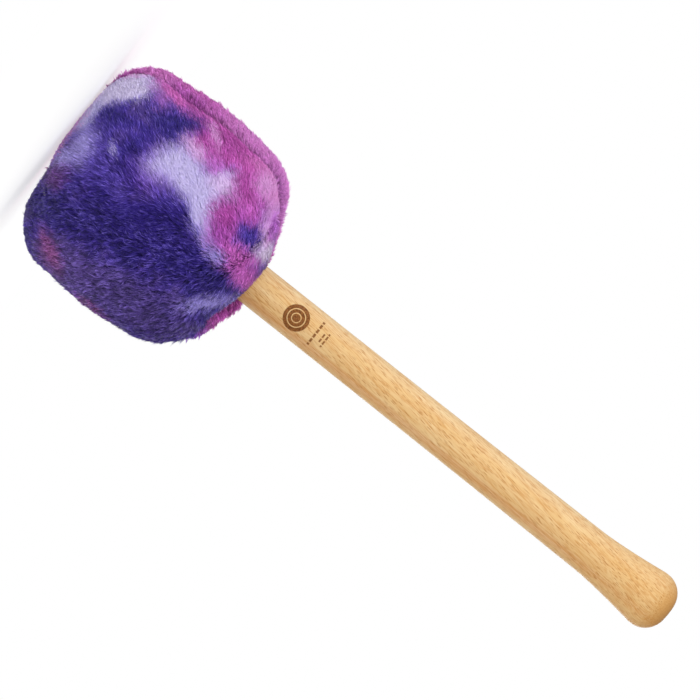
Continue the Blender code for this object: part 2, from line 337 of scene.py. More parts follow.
# Points on the head by the angle round the handle and the share of the way along the outline. inset is
# the depth under the tips of the pile, and valley is how much of the seams' valley is there.
def headSurface(angle, share, inset, valley=1.0):
    angle, share = np.broadcast_arrays(np.asarray(angle, float), np.asarray(share, float))
    if inset not in outlines:
        outlines[inset] = headOutline(inset)
    radii, heights, shares = outlines[inset]
    radius, height = np.interp(share, shares, radii), np.interp(share, shares, heights)
    slopeR = np.interp(share + 0.004, shares, radii) - np.interp(share - 0.004, shares, radii)
    slopeZ = np.interp(share + 0.004, shares, heights) - np.interp(share - 0.004, shares, heights)
    slope = np.maximum(np.hypot(slopeR, slopeZ), 1e-9)
    away = seamDistance(angle, share, np.maximum(radius, 4.0))
    sink = head["seamValley"] * valley * np.exp(-(away / head["seamWidth"]) ** 2) * smoothStep(9, 16, radius)
    cos, sin = np.cos(np.radians(angle)), np.sin(np.radians(angle))
    flat = np.stack([radius * cos, radius * sin, height], -1).reshape(-1, 3)
    lump = (softWaves(flat, 46, 3) * 0.7 + softWaves(flat, 24, 4) * 0.3).reshape(radius.shape)
    lump *= head["lumps"] * smoothStep(8, 22, radius) * smoothStep(1, 12, height + 4)
    radius = radius + slopeZ / slope * (lump - sink)
    height = height - slopeR / slope * (lump - sink)
    x, y, z = radius * cos, radius * sin, height
    x = x + head["sideways"] * (1 - smoothStep(96, 114, height))
    lift = head["liftedEnd"] * smoothStep(0, 28, x) + head["liftedFront"] * smoothStep(8, 34, -y)
    z = z + lift * (1 - smoothStep(4, 42, z))
    z = z + head["liftedLeft"] * np.exp(-((x + 31) / 13) ** 2) * (1 - smoothStep(4, 42, z))
    for dent in head["dents"].values():
        pressed = np.exp(-((x - dent["at"]) / dent["wide"]) ** 2 - (y / dent["deep"]) ** 2)
        z = z - dent["by"] * pressed * smoothStep(*dent["between"], height)
    beside = np.exp(-((x - 20) / 12) ** 2) * smoothStep(84, 106, height)
    back = smoothStep(-7, 5, y)
    z = z + (head["raisedBack"] * back - head["tuckedFront"] * smoothStep(2, -12, y)) * beside
    z = z + head["ruffled"] * np.exp(-((x - 12.5) / 5.5) ** 2) * back * smoothStep(98, 110, height)
    x = x + head["fullCorner"] * smoothStep(20, 50, x) * np.exp(-((height - 19) / 12) ** 2)
    return np.stack([x, y, np.maximum(z, inset * 0.85)], -1)


# The angle at a share of the way across a panel: the front one faces -Y
def panelAngles(side, share, across):
    left, right = seamAngles(share)
    if side == "front":
        return left + (right - left) * across
    return right + (left + 360 - right) * across


# Dyes of the plush, as they look in daylight
dyes = {
    "indigo": "#47309E", "indigoDark": "#2D1B80", "indigoLow": "#543D90", "indigoLight": "#5843AA",
    "violet": "#774EB9", "violetLow": "#664CA2", "violetVeil": "#B4A6EE", "violetPink": "#A869C4",
    "lavender": "#DACFFC", "lavenderPale": "#E4D9FF", "lavenderPink": "#EBD0FA", "blueLavender": "#D3CBFA",
    "magenta": "#CC5EBA", "magentaDeep": "#B64BA9", "magentaViolet": "#BC58C2", "purplePink": "#D66FCE",
    "pink": "#E89EE1", "pinkPale": "#E6A8E4", "pinkWarm": "#E38BD3", "rosePink": "#DE74CC",
    "rose": "#9C5096", "plum": "#6E3C90", "milk": "#EFDFFC",
    "orchid": "#F5CBF6", "orchidPale": "#EBC3F4", "orchidDeep": "#CF7FDC",
}


# One pour of dye: its place across and up the mallet, its half length and half width, the angle of its long
# way from +X, the dye, and how far its edge bleeds as a share of its size
def pour(place, size, lean, dye, edge):
    return {"place": place, "size": size, "lean": lean, "dye": dye, "edge": edge}


# Later pours lie over earlier ones
frontDye = {
    "violetLower": pour((46, 74), (36, 12), -80, "indigoLow", 0.7),
    "violetLeft": pour((52, 42), (18, 11), -87, "violetLow", 0.7),
    "lightHeart": pour((-6, 57), (10, 4), 78, "indigoLight", 0.8),
    "lightFar": pour((-2, 20), (14, 9), 20, "indigoLight", 0.8),
    "darkWest": pour((-4, 36), (7, 4), 60, "indigoDark", 0.9),
    "lightMiddle": pour((5, 38), (7, 4), 60, "indigoLight", 0.9),
    "darkShade": pour((20, 48), (17, 9), -80, "indigoDark", 0.8),
    "darkHeart": pour((6, 66), (15, 11), -62, "indigoDark", 0.7),
    "darkSouth": pour((15, 82), (11, 7), -60, "indigoDark", 0.7),
    "darkNeck": pour((10, 99), (14, 6), -74, "indigoDark", 0.6),
    "darkCorner": pour((31.5, 14), (9.5, 6.5), -32, "indigoDark", 0.7),
    "darkBand": pour((29, 29), (15, 7), -78, "indigoDark", 0.9),
    "darkTop": pour((-37, 42), (12, 7), -67, "indigoDark", 0.6),
    "pinkRim": pour((-45.5, 8.6), (14, 3.4), -45, "pink", 0.6),
    "topBand": pour((-36.6, 10.6), (19.5, 6.7), -44, "lavenderPale", 0.4),
    "topBandCorner": pour((-26, 3), (9, 6), -25, "lavenderPale", 0.4),
    "rimVeil": pour((-15, 3), (10, 4), 0, "blueLavender", 0.5),
    "veilFar": pour((-1, 12), (9.5, 5.8), 23, "violetVeil", 0.8),
    "veilFarLow": pour((10, 8), (7.5, 4.2), -32, "violetVeil", 0.8),
    "fleck": pour((-9, 25), (3.6, 1.2), 38, "lavender", 0.65),
    "heartHalo": pour((-17, 50), (15, 9), -37, "violet", 0.9),
    "heartWest": pour((-21.5, 50.5), (12, 7.4), -37, "lavender", 0.75),
    "heartMiddle": pour((-21, 62), (14, 9.6), 88, "lavender", 0.55),
    "heartTail": pour((-2, 91), (8, 4), 62, "violetVeil", 0.8),
    "magentaTop": pour((-55.5, 31), (14, 8.5), -90, "magenta", 0.6),
    "magentaUpper": pour((-58.5, 48), (17, 12), -90, "magenta", 0.6),
    "magentaMiddle": pour((-54, 64), (17, 13), 83, "magenta", 0.6),
    "magentaInner": pour((-41, 65), (13, 7.6), -67, "magenta", 0.6),
    "heartSouth": pour((-12.5, 78), (12.5, 7.3), 46, "lavender", 0.6),
    "magentaRight": pour((-45, 87), (14, 11), 83, "magenta", 0.6),
    "magentaDown": pour((-27, 91), (13, 10.8), 38, "purplePink", 0.6),
    "magentaLow": pour((-12.5, 93), (11, 9.5), 38, "magentaViolet", 0.6),
    "magentaNeck": pour((-6, 104), (10, 9), -72, "purplePink", 0.6),
    "darkTopEdge": pour((-40.5, 46), (7, 4.1), -80, "indigoDark", 0.7),
    "heartRim": pour((-34, 55.5), (7, 3.4), 75, "orchidPale", 0.8),
    "heartBridge": pour((-33, 70), (7, 4.2), 60, "orchidDeep", 0.8),
    "heartEast": pour((-23.2, 76.4), (11.5, 6.6), -22, "lavender", 0.7),
    "heartEnd": pour((-30, 78.5), (7, 4.6), -60, "lavenderPink", 0.9),
    "deepUpper": pour((-43, 62), (10, 6), -82, "magentaDeep", 0.8),
    "deepMiddle": pour((-35, 87), (6, 6), -52, "magentaDeep", 0.8),
    "deepLow": pour((-18, 85.5), (7, 5), 38, "magentaDeep", 0.8),
    "topViolet": pour((-42.5, 27), (6.5, 3), 75, "violetPink", 0.9),
    "pinkTop": pour((-50, 29), (10, 3.4), 72, "rosePink", 0.9),
    "pinkStreak": pour((-44.4, 58.4), (7, 1.5), 57, "pinkPale", 0.8),
    "pinkShoulder": pour((-50, 88), (8, 5.5), 83, "pinkWarm", 0.8),
    "pinkRight": pour((-44, 98), (11, 6), 33, "pinkWarm", 0.6),
    "paleShoulder": pour((-41, 93), (6, 4.5), 38, "pinkPale", 0.8),
    "paleEdge": pour((-33, 105), (7, 4), 33, "pinkPale", 0.8),
    "paleRight": pour((-20, 110), (11, 4.2), 33, "orchid", 0.6),
    "paleSeam": pour((-28, 110.5), (7, 4), 40, "orchidDeep", 0.7),
    "dropHalo": pour((-16, 102), (5.2, 4.8), -52, "violet", 0.7),
    "paleNeck": pour((-16.5, 115), (6.5, 4), -62, "milk", 0.8),
    "drop": pour((-17.2, 103), (3.6, 3.3), 38, "indigo", 0.9),
    "veilLow": pour((0, 96), (3.6, 3), 38, "violetVeil", 0.8),
    "neckPink": pour((1, 113), (7, 6), -82, "purplePink", 0.5),
    "streakLow": pour((22, 105.5), (12, 3.3), -47, "violetVeil", 0.7),
    "pinkLeft": pour((48.8, 30), (10, 3.6), 56, "rose", 0.9),
    "plumSpot": pour((20, 10), (5.6, 5.4), -52, "plum", 0.9),
    "pinkStrip": pour((59.5, 62), (12, 1.4), -86, "rose", 0.9),
    "pinkFar": pour((3, 0.6), (24, 1.8), 0, "pink", 0.6),
}
backDye = {
    "magentaAll": pour((-40, 60), (62, 80), 0, "magenta", 0.35),
    "magentaFar": pour((10, 8), (60, 16), 8, "magenta", 0.4),
    "magentaCrown": pour((20, 112), (48, 16), -12, "magenta", 0.5),
    "violetHalo": pour((-8, 66), (25, 16), 48, "violet", 0.9),
    "lavenderPool": pour((-12, 72), (20, 11), 35, "lavender", 0.7),
    "lavenderArm": pour((6, 54), (14, 7), -50, "lavender", 0.7),
    "lavenderLow": pour((-32, 28), (16, 7), 20, "blueLavender", 0.8),
    "indigoPool": pour((30, 66), (24, 30), 10, "indigo", 0.35),
    "indigoDeep": pour((34, 60), (14, 19), 10, "indigoDark", 0.7),
    "indigoLow": pour((6, 26), (18, 10), -25, "indigo", 0.6),
    "violetCrown": pour((-8, 100), (16, 8), 12, "violet", 0.7),
    "violetFringe": pour((40, 106), (9, 8), -40, "violet", 0.8),
    "pinkSide": pour((-54, 74), (13, 28), 0, "pink", 0.8),
    "pinkCorner": pour((-37, 104), (17, 8), 38, "pink", 0.8),
    "pinkSeamTop": pour((-51, 16), (23, 10), -60, "pinkWarm", 0.8),
}

# Polyester plush, knitted with a cut pile and dyed by pouring
plush = {
    "rootSpacing": 0.48,
    "clumpSpacing": 1.35, "curlSpacing": 1.55,      # strands of a real pile lock into wisps about this wide
    "clumpPull": 0.34, "curlyPull": 0.48,           # smooth on the -X side, locked into curls on the +X side
    "rise": 3.3, "lean": 4.4,
    "thickness": 0.19,              # radius of a strand, coarser than real fibres so that it shows
    "taper": (1.0, 0.95, 0.68),     # on its way up to the tip
    "wisps": 0.26,                  # share of strands that lie on top, longer, and lighter by a painted highlight
    "wispRise": 1.03, "wispLean": 1.08, "wispThickness": 1.28,
    "seamTuck": 0.52, "seamShade": 0.8, "seamDark": 0.75,   # how much shorter strands get there, and how much painted crease shade darkens them
    "strandsPerPiece": 12500,
    "creep": {"slow": 6.0, "fast": 5.5, "stray": 4.2},      # how far dye crept past its edge, in three sizes
    "thinness": 3.0,                # dyes are mixed by the thickness of each, as told below
    "tipHighlightColour": "#B9ACE2",
    "lightest": (0.94, 0.92, 0.97),
}


# Dyes over one another each take their share of the light, so they are mixed as thicknesses of dye
# and not as paints: thin indigo over lavender stays a clear violet-blue.
def dyeColour(name):
    return [channel ** (1 / plush["thinness"]) for channel in hexColour(dyes[name])]


# Lays each poured dye over the base colour, with edges that wander as the dye crept. Here and in the
# material below, places are in millimetres, so 1 / 17.0 gives a noise that changes over 17 mm.
def soakDye(add, place, base, poured, facing):
    slow = add("TexNoise", {"Vector": place, "Scale": 1 / 17.0, "Detail": 1.0})
    fast = add("TexNoise", {"Vector": place, "Scale": 1 / 5.0, "Detail": 2.0, "Roughness": 0.6})
    stray = add("TexWhiteNoise", {"Vector": place}, noise_dimensions="3D")
    moved = place
    for noise, far in zip((slow, fast, stray), plush["creep"].values()):
        shift = add("VectorMath", (noise.outputs["Color"], [0.5] * 3), operation="SUBTRACT")
        moved = add("VectorMath", (shift, [far] * 3, moved), operation="MULTIPLY_ADD")
    colour = base
    for name, dye in poured.items():
        (x, z), (half, width) = dye["place"], dye["size"]
        spot = add("Mapping", {
            "Vector": moved, "Location": (x, facing * 40, z), "Rotation": (0, -math.radians(dye["lean"]), 0),
            "Scale": (half, 75, width)}, vector_type="TEXTURE", label=name)
        away = add("VectorMath", (spot,), operation="LENGTH")
        wet = add("MapRange", (away, 1 + dye["edge"], 1 - dye["edge"] * 0.8), interpolation_type="SMOOTHSTEP")
        colour = add("Mix", {0: wet, 6: colour, 7: dyeColour(dye["dye"])}, data_type="RGBA")
    return add("Gamma", {"Color": colour, "Gamma": plush["thinness"]})


# The pile is matt with a soft sheen along its fibres. Its colour has painted shade at the roots, where the
# light doesn't reach, and a painted highlight at the cut tips, which are paler
def makePlush(name, side):
    material, add, shader = startMaterial(name, {
        "Roughness": 0.48, "IOR": 1.47, "Specular IOR Level": 0.28,
        "Sheen Weight": 0.06, "Sheen Roughness": 0.4, "Sheen Tint": hexColour("#C9BEEA")})
    place = add("Attribute", attribute_name="rootPlace").outputs["Vector"]
    reach = add("Attribute", attribute_name="reach").outputs["Fac"]
    tone = add("Attribute", attribute_name="tone").outputs["Fac"]
    cloud = add("TexNoise", {"Vector": place, "Scale": 1 / 14.0, "Detail": 3.0, "Roughness": 0.6})
    shades = add("ValToRGB", {"Fac": cloud})
    ramp = shades.color_ramp
    ramp.elements[0].position, ramp.elements[0].color = 0.4, dyeColour("indigoDark")
    ramp.elements[1].position, ramp.elements[1].color = 0.62, dyeColour("indigoLow")
    ramp.elements.new(0.5).color = dyeColour("indigo")
    poured, facing = (frontDye, -1) if side == "front" else (backDye, 1)
    dyed = soakDye(add, place, shades, poured, facing)
    # painted shade darkens the roots, and single strands differ, less so where the dye is pale
    paleness = add("RGBToBW", {"Color": dyed})
    depth = add("MapRange", (paleness, 0.08, 0.46, 1.0, 0.1))
    light = add("MapRange", (reach, 0.0, 1.0, -0.5, 0.16))
    strand = add("MapRange", (tone, 0.0, 1.0, -0.52, 1.15))
    level = add("Math", (light, strand), operation="ADD")
    level = add("Math", (level, depth, 1.0), operation="MULTIPLY_ADD")
    # painted crease shade: strands down in the seam have a tone below nothing, which darkens them whatever
    # their dye
    crease = add("MapRange", (tone, -0.6, 0.0, 0.4, 1.0))
    level = add("Math", (level, crease), operation="MULTIPLY")
    lit = add("VectorMath", {0: dyed, "Scale": level}, operation="SCALE")
    # painted highlight: the lightest strands turn paler at their cut ends
    tipHighlight = add("MapRange", (tone, 0.4, 1.0, 0.0, 0.25))
    tipHighlight = add("Math", (tipHighlight, reach), operation="MULTIPLY")
    lit = add("Mix", {0: tipHighlight, 6: lit, 7: hexColour(plush["tipHighlightColour"])}, data_type="RGBA")
    lit = add("VectorMath", (lit, plush["lightest"]), operation="MINIMUM")
    setInputs(shader, {"Base Color": lit})
    return material


plushMaterials = {"front": makePlush("dyedPlushFront", "front"), "back": makePlush("dyedPlushBack", "back")}


# What the material reads at each point: where the strand is rooted, how far up it is, which sets its painted
# root shade, and the strand's tone, which also carries painted shade and highlight
def setPlushValues(mesh, rootPlace, reach, tone):
    kinds = (("rootPlace", "FLOAT_VECTOR", "vector", rootPlace), ("reach", "FLOAT", "value", reach),
             ("tone", "FLOAT", "value", tone))
    for name, kind, field, values in kinds:
        layer = mesh.attributes.new(name, kind, "POINT")
        layer.data.foreach_set(field, values.astype(np.float32).ravel())


# Round the handle the front's nap turns away from lying down the mallet: 0 where it hasn't, 1 where it has
def napTurn(place):
    return smoothStep(44, 20, np.hypot(place[..., 0], place[..., 1])) * smoothStep(70, 84, place[..., 2])


# The knitted backing under the pile, a closed shell of two skins joined along their edges
def makePanel(side, across=150, along=190):
    share = np.linspace(0.0, 1.0, along)[:, None] * np.ones((1, across))
    over = np.linspace(0.0, 1.0, across)[None, :] * np.ones((along, 1))
    angle = panelAngles(side, share, over)
    skins = [headSurface(angle, share, head["pile"] + depth).reshape(-1, 3) for depth in (0, head["backing"])]
    points = np.concatenate(skins)
    count = across * along
    faces = gridFaces(along, across) + [quad[::-1] for quad in gridFaces(along, across, count)]
    for i in range(along - 1):
        for j, flip in ((0, 1), (across - 1, -1)):
            a, b = i * across + j, (i + 1) * across + j
            faces.append((a, b, b + count, a + count)[::flip])
    for a in range((along - 1) * across, count - 1):
        faces.append((a + count, a + 1 + count, a + 1, a))
    name = "plush_panel_" + side
    mesh = bpy.data.meshes.new(name)
    mesh.from_pydata((points * mm).tolist(), [], faces)
    # the backing has the painted root shade, lifted on the front where the nap parts
    reach = np.full(len(points), 0.12)
    if side == "front":
        reach += 0.6 * np.sin(math.pi * napTurn(points))
    setPlushValues(mesh, points, reach, np.full(len(points), 0.3))
    mesh.shade_smooth()
    work = bmesh.new()
    work.from_mesh(mesh)
    bmesh.ops.remove_doubles(work, verts=work.verts, dist=2e-5)
    bmesh.ops.recalc_face_normals(work, faces=work.faces)
    work.to_mesh(mesh)
    work.free()
    piece = linkPiece(name, mesh, plushMaterials[side], "cover_%s_panel" % side)


for side in ("front", "back"):
    makePanel(side)
print("plush backing made")


# Angles and shares of points spread evenly over the whole head
def scatterRoots(spacing, key):
    dice = np.random.default_rng(seed + key)
    radius, height, share = headOutline(head["pile"])
    rows = int(np.sum(np.hypot(np.diff(radius), np.diff(height))) / spacing)
    angles, shares = [], []
    for i in range(rows):
        middle = (i + 0.5) / rows
        girth = 2 * math.pi * max(np.interp(middle, share, radius), 0.2)
        count = max(3, int(girth / spacing))
        step = np.arange(count) + dice.uniform(0, 1)
        angles.append(step * 360 / count + dice.uniform(-0.5, 0.5, count) * 360 / count)
        shares.append(np.full(count, middle) + dice.uniform(-0.5, 0.5, count) / rows)
    return np.concatenate(angles), np.clip(np.concatenate(shares), 0, 1)


# Place and outward direction
def surfaceFrame(angle, share):
    higher, lower = np.minimum(share + 0.004, 1.0), np.maximum(share - 0.004, 0)
    up = headSurface(angle, higher, head["pile"]) - headSurface(angle, lower, head["pile"])
    wide = 0.6 + 20 * np.exp(-share * 40)
    around = headSurface(angle + wide, share, head["pile"]) - headSurface(angle - wide, share, head["pile"])
    return headSurface(angle, share, head["pile"]), unit(np.cross(unit(around), unit(up)))


def isFront(angle, share):
    left, right = seamAngles(share)
    return (angle - left) % 360 < (right - left) % 360


# Which way the nap lies: down the mallet to its flat end, and out to the sides
def combing(place, normal, front):
    x, y, z = place.T
    none = np.zeros_like(x)
    outward = unit(np.stack([x, y, none], -1))
    crown = smoothStep(92, 112, z)[:, None]
    cap = (1 - smoothStep(5, 24, z))[:, None]
    down = np.stack([np.tanh(x / 24) * 0.62, none, none - 0.8], -1)
    way = down * (1 - 0.6 * crown) + outward * 1.3 * crown
    # on the front it turns to +X and then in towards the wood
    turned = napTurn(place)[:, None]
    sideways = np.array([1.2, 0, 0]) * np.sin(math.pi * turned)
    inward = np.array([0, 0, 0.4]) - outward * 0.9
    way = np.where(front[:, None], down * (1 - turned) + sideways + inward * turned, way)
    way = way + np.stack([none, np.where(front, 1.1, -1.1), none], -1) * cap
    return unit(way - normal * dot(way, normal))


# Turns each vector about its own axis, in degrees
def turnAbout(vectors, axes, angle):
    angle = np.radians(angle)[:, None]
    cos, sin = np.cos(angle), np.sin(angle)
    return vectors * cos + np.cross(axes, vectors) * sin + axes * dot(vectors, axes) * (1 - cos)


# One mesh of three-sided strands: each has a path of four points and a radius at its first three
def strandMesh(name, path, radius, normal, tone, shaded, parted):
    count = len(path)
    ahead = unit(np.gradient(path, axis=1))[:, :3]
    aside = unit(np.cross(ahead, normal[:, None]))
    above = np.cross(ahead, aside)
    turn = np.radians([90, 210, 330])[None, None, :, None]
    rings = np.cos(turn) * aside[:, :, None] + np.sin(turn) * above[:, :, None]
    rings = path[:, :3, None] + radius[:, :, None, None] * rings
    points = np.concatenate([rings.reshape(count, 9, 3), path[:, 3:4]], 1)
    faces = gridFaces(3, 3, closed=True) + [(6 + j, 6 + (j + 1) % 3, 9) for j in range(3)]
    corners = np.array([corner for face in faces for corner in face])
    sizes = np.array([len(face) for face in faces])
    loops = corners[None] + 10 * np.arange(count)[:, None]
    starts = (np.cumsum(sizes) - sizes)[None] + sizes.sum() * np.arange(count)[:, None]
    mesh = bpy.data.meshes.new(name)
    mesh.vertices.add(count * 10)
    mesh.vertices.foreach_set("co", (points * mm).astype(np.float32).ravel())
    mesh.loops.add(loops.size)
    mesh.loops.foreach_set("vertex_index", loops.astype(np.int32).ravel())
    mesh.polygons.add(count * 9)
    mesh.polygons.foreach_set("loop_start", starts.astype(np.int32).ravel())
    # reach runs up the strand and sets its painted root shade: shaded lowers it in the seam and parted lifts
    # it at the root
    steps = np.repeat([0.0, 0.4, 0.75, 1.0], [3, 3, 3, 1])[None]
    reach = parted[:, None] + (shaded - parted)[:, None] * steps
    # a strand has one dye all along, the one where it bends over
    setPlushValues(mesh, np.repeat(path[:, 2], 10, 0), reach, np.repeat(tone, 10))
    # each strand has a small cell of its own in the map, side by side in the order they grow
    cells = math.ceil(math.sqrt(count))
    level = [0.06, 0.36, 0.7, 0.94]
    u = [(j + (1 if k in (1, 2) else 0)) / 3 for i in range(2) for j in range(3) for k in range(4)]
    v = [level[i + (1 if k > 1 else 0)] for i in range(2) for j in range(3) for k in range(4)]
    u += [(j + step) / 3 for j in range(3) for step in (0, 1, 0.5)]
    v += [level[2 + (1 if k == 2 else 0)] for j in range(3) for k in range(3)]
    place = np.arange(count)
    cellU = (place % cells)[:, None] + 0.08 + 0.84 * np.array(u)[None]
    cellV = (place // cells)[:, None] + np.array(v)[None]
    layer = mesh.uv_layers.new(name="OFBake")
    layer.data.foreach_set("uv", (np.stack([cellU, cellV], -1) / cells).astype(np.float32).ravel())
    mesh.update(calc_edges=True)
    mesh.shade_smooth()
    return mesh


# Wisps lock together round points spread over the head: fine ones, and wider ones for the curls at +X.
# Each has its own turn, height, curl and tone. This gives those of the wisp that each wanted place is in.
def makeClumps(dice, wanted):
    places, fronts, nearest = [], [], []
    for spacing, key in ((plush["clumpSpacing"], 1), (plush["curlSpacing"], 5)):
        spread = scatterRoots(spacing, key)
        points = surfaceFrame(*spread)[0]
        tree = kdtree.KDTree(len(points))
        for i, point in enumerate(points):
            tree.insert(point, i)
        tree.balance()
        nearest.append(np.array([tree.find(point)[1] for point in wanted]))
        places.append(points)
        fronts.append(isFront(*spread))
    place, front = np.concatenate(places), np.concatenate(fronts)
    count = len(place)
    curly = smoothStep(-4, 24, place[:, 0] + softWaves(place, 30, 16) * 6)
    turn = softWaves(place, 7, 12) * 9 + dice.normal(0, 13, count)
    turn = softWaves(place, 24, 11) * 13 + turn * (0.6 + 0.65 * curly)
    lift = softWaves(place, 8, 13) * 0.07 + dice.normal(0, 0.11, count)
    lift = 1 + lift * np.where(front, 0.55 + 0.35 * curly, 1.4)
    curl = dice.normal(0, 0.45, count) * curly
    tone = 0.26 - 0.04 * curly + softWaves(place, 8, 14) * 0.07
    tone = tone + dice.normal(0, 0.1, count) * np.where(front, 0.7 + 1.9 * curly, 2.0)
    fine, wide = nearest[0], nearest[1] + len(places[0])
    mine = np.where((curly[wide] > 0.4) & front[wide], wide, fine)
    clumps = {"place": place, "front": front, "curly": curly, "turn": turn, "lift": lift,
              "curl": curl, "tone": tone}
    return {what: values[mine] for what, values in clumps.items()}


def growPile():
    dice = np.random.default_rng(seed)
    angle, share = scatterRoots(plush["rootSpacing"], 2)
    place, normal = surfaceFrame(angle, share)
    front = isFront(angle, share)
    count = len(place)
    clump = makeClumps(dice, place)
    curly = clump["curly"]
    x, y, z = place.T
    seamAway = seamDistance(angle, share, np.hypot(x, y))
    flow = turnAbout(combing(place, normal, front), normal, clump["turn"] + dice.normal(0, 9, count))
    # strands are short in the seam, and stand up ragged along the back panel's edge and in tufts at the neck
    tucked = 1 - plush["seamTuck"] * np.exp(-(seamAway / 2.6) ** 2)
    ragged = np.where(front, 0.0, np.exp(-((seamAway - 5) / 5) ** 2))
    tufts = smoothStep(3, 12, x) * smoothStep(44, 34, x) * smoothStep(90, 102, z)
    tufts = np.where(front, 0.0, tufts * np.exp(-((seamAway - 6) / 9) ** 2))
    tufts = tufts * np.clip(0.45 + softWaves(place, 6, 15) * 0.5, 0, 1.2)
    wisp = dice.random(count) < plush["wisps"]
    hem = smoothStep(0.955, 1.0, share)
    rise = plush["rise"] * clump["lift"] * (1 + dice.normal(0, 0.07, count)) * tucked * (1 - 0.5 * hem)
    rise = rise * (1 + ragged * (0.16 + dice.normal(0, 0.1, count)) + tufts * 0.25)
    rise = rise * np.where(wisp, plush["wispRise"] + dice.normal(0, 0.05, count), 1.0)
    lean = plush["lean"] * (1 + dice.normal(0, 0.14, count)) * (1 - 0.25 * hem) * (2 - clump["lift"])
    lean = lean * (1 - 0.5 * ragged) * np.where(wisp, plush["wispLean"], 1.0)
    pull = (clump["place"] - place) * (plush["clumpPull"] + plush["curlyPull"] * curly)[:, None]
    pull = pull * np.clip(dice.normal(1, 0.2, count), 0.3, 1.4)[:, None]
    pull[clump["front"] != front] *= 0.2
    pull -= normal * dot(pull, normal)
    curl = np.cross(normal, flow) * (dice.normal(0, 0.35, count) + clump["curl"])[:, None]
    # a strand starts a little under the backing's surface, rises, and bends over the way the nap lies
    path = np.zeros((count, 4, 3))
    path[:, 0] = place - normal * (rise * 0.15)[:, None]
    for i, u in ((1, 0.36), (2, 0.72), (3, 1.0)):
        up, along = rise * (1 - (1 - u) ** 1.7), lean * u ** 1.5
        path[:, i] = place + normal * up[:, None] + flow * along[:, None] + pull * u ** 1.2
        path[:, i] += curl * math.sin(math.pi * u)
    path[:, :, 2] = np.maximum(path[:, :, 2], 0.05)
    radius = plush["thickness"] * np.clip(1 + dice.normal(0, 0.15, count), 0.6, 1.5)
    radius = radius * np.where(wisp, plush["wispThickness"], 1.0) * 1.0
    radius = radius[:, None] * np.array(plush["taper"])
    # painted shade and highlight: a curl is lighter along its middle and darker where it parts from the next
    # one
    fromMiddle = np.linalg.norm(clump["place"] - place, axis=1) / plush["curlSpacing"]
    tone = clump["tone"] - 0.9 * curly * (fromMiddle - 0.34)
    tone = tone + dice.normal(0, 0.08, count) * (1 + 0.9 * curly)
    # the wisps' higher tone is a painted highlight
    tone = np.clip(tone + np.where(wisp, 0.3 + 0.16 * curly + dice.normal(0, 0.14, count), 0.0), 0, 1)
    # painted crease shade darkens the seams, and only weakly on the -X side below the middle
    creaseShadeShare = np.where(x < 0, 0.35 + 0.65 * smoothStep(26, 50, z), 1.0)
    shade = creaseShadeShare * np.exp(-(seamAway / 2.4) ** 2)
    tone = tone * (1 - plush["seamShade"] * shade)
    tone = tone - plush["seamDark"] * creaseShadeShare * np.exp(-(seamAway / 2.2) ** 2)
    shaded = 1 - 0.55 * shade
    # painted light: the painted root shade is lifted where the nap parts
    parted = np.where(front, 0.75 * np.sin(math.pi * napTurn(place)), 0.0)
    order = np.lexsort((share, np.floor(angle / 6), ~front))
    made = 0
    for side, chosen in (("front", order[front[order]]), ("back", order[~front[order]])):
        pieces = math.ceil(len(chosen) / plush["strandsPerPiece"])
        for i, part in enumerate(np.array_split(chosen, pieces)):
            name = "plush_pile_%s_%02d" % (side, i + 1)
            values = [each[part] for each in (path, radius, normal, tone, shaded, parted)]
            mesh = strandMesh(name, *values)
            linkPiece(name, mesh, plushMaterials[side], "cover_%s_panel" % side)
            made += 1
    print("plush pile grown:", count, "strands in", made, "pieces")


growPile()


# The stitching in the crease and the cord in the hem: spun polyester thread and cotton cord, both two-ply,
# dull, with the faint slanting stripes of their twist
def makeThread(name, colours):
    material, add, shader = startMaterial(name, {"Roughness": 0.6, "Sheen Weight": 0.3, "IOR": 1.5})
    place = add("TexCoord").outputs["Object"]
    # at this scale the stripes are 0.4 mm apart
    wave = add("TexWave", {"Vector": place, "Scale": 900.0, "Distortion": 1.0}, bands_direction="DIAGONAL")
    ply = wave.outputs["Fac"]
    shade = add("Mix", {0: ply, 6: hexColour(colours[0]), 7: hexColour(colours[1])}, data_type="RGBA")
    bump = add("Bump", {"Height": ply, "Distance": 0.0001, "Strength": 0.6})
    setInputs(shader, {"Base Color": shade, "Normal": bump})
    return material


# Puts several tubes into one mesh
def meshFromTubes(name, tubes):
    points, faces = [], []
    for tubePoints, tubeFaces in tubes:
        faces += [tuple(corner + len(points) for corner in face) for face in tubeFaces]
        points += tubePoints.tolist()
    return meshFromPoints(name, points, faces)


stitching = {"length": 2.7, "pitch": 3.5, "radius": 0.42, "slant": 0.9, "colours": ("#6E2B70", "#8C4490")}


# Short overlapping stitches along both seams, from near the flat end's centre up to near the hem
def makeStitches():
    share = np.linspace(0.03, 0.93, 400)
    middle = np.array([0, 0, 60.0])     # of the head
    swell = stitching["radius"] * np.array([0.5, 0.9, 1, 1, 0.9, 0.5])
    tubes = []
    for angle in seamAngles(share):
        route = headSurface(angle, share, head["pile"], 0.75)
        length = np.concatenate([[0], np.cumsum(np.linalg.norm(np.diff(route, axis=0), axis=1))])
        sides = np.cross(unit(np.gradient(route, axis=0)), unit(route - middle))
        for start in np.arange(1.0, length[-1] - 3, stitching["pitch"]):
            run = np.linspace(start, start + stitching["length"], 6)
            line, side = [np.stack([np.interp(run, length, each[:, k]) for k in range(3)], -1)
                          for each in (route, sides)]
            line = line + side * (np.linspace(-0.5, 0.5, 6) * stitching["slant"])[:, None]
            lift = unit(line - middle) * (np.sin(np.linspace(0, math.pi, 6)) * 0.5 - 0.1)[:, None]
            tubes.append(tubeAlong(line + lift, swell, 6))
    mesh = meshFromTubes("seam_stitches", tubes)
    thread = makeThread("spunPolyesterThread", stitching["colours"])
    linkPiece("seam_stitches", mesh, thread, "seam_thread")


hemCord = {"radius": 12.4, "height": 108.9, "strand": 0.62, "twist": 0.6, "turns": 15,
           "colours": ("#D9D2E6", "#F1EDF7")}


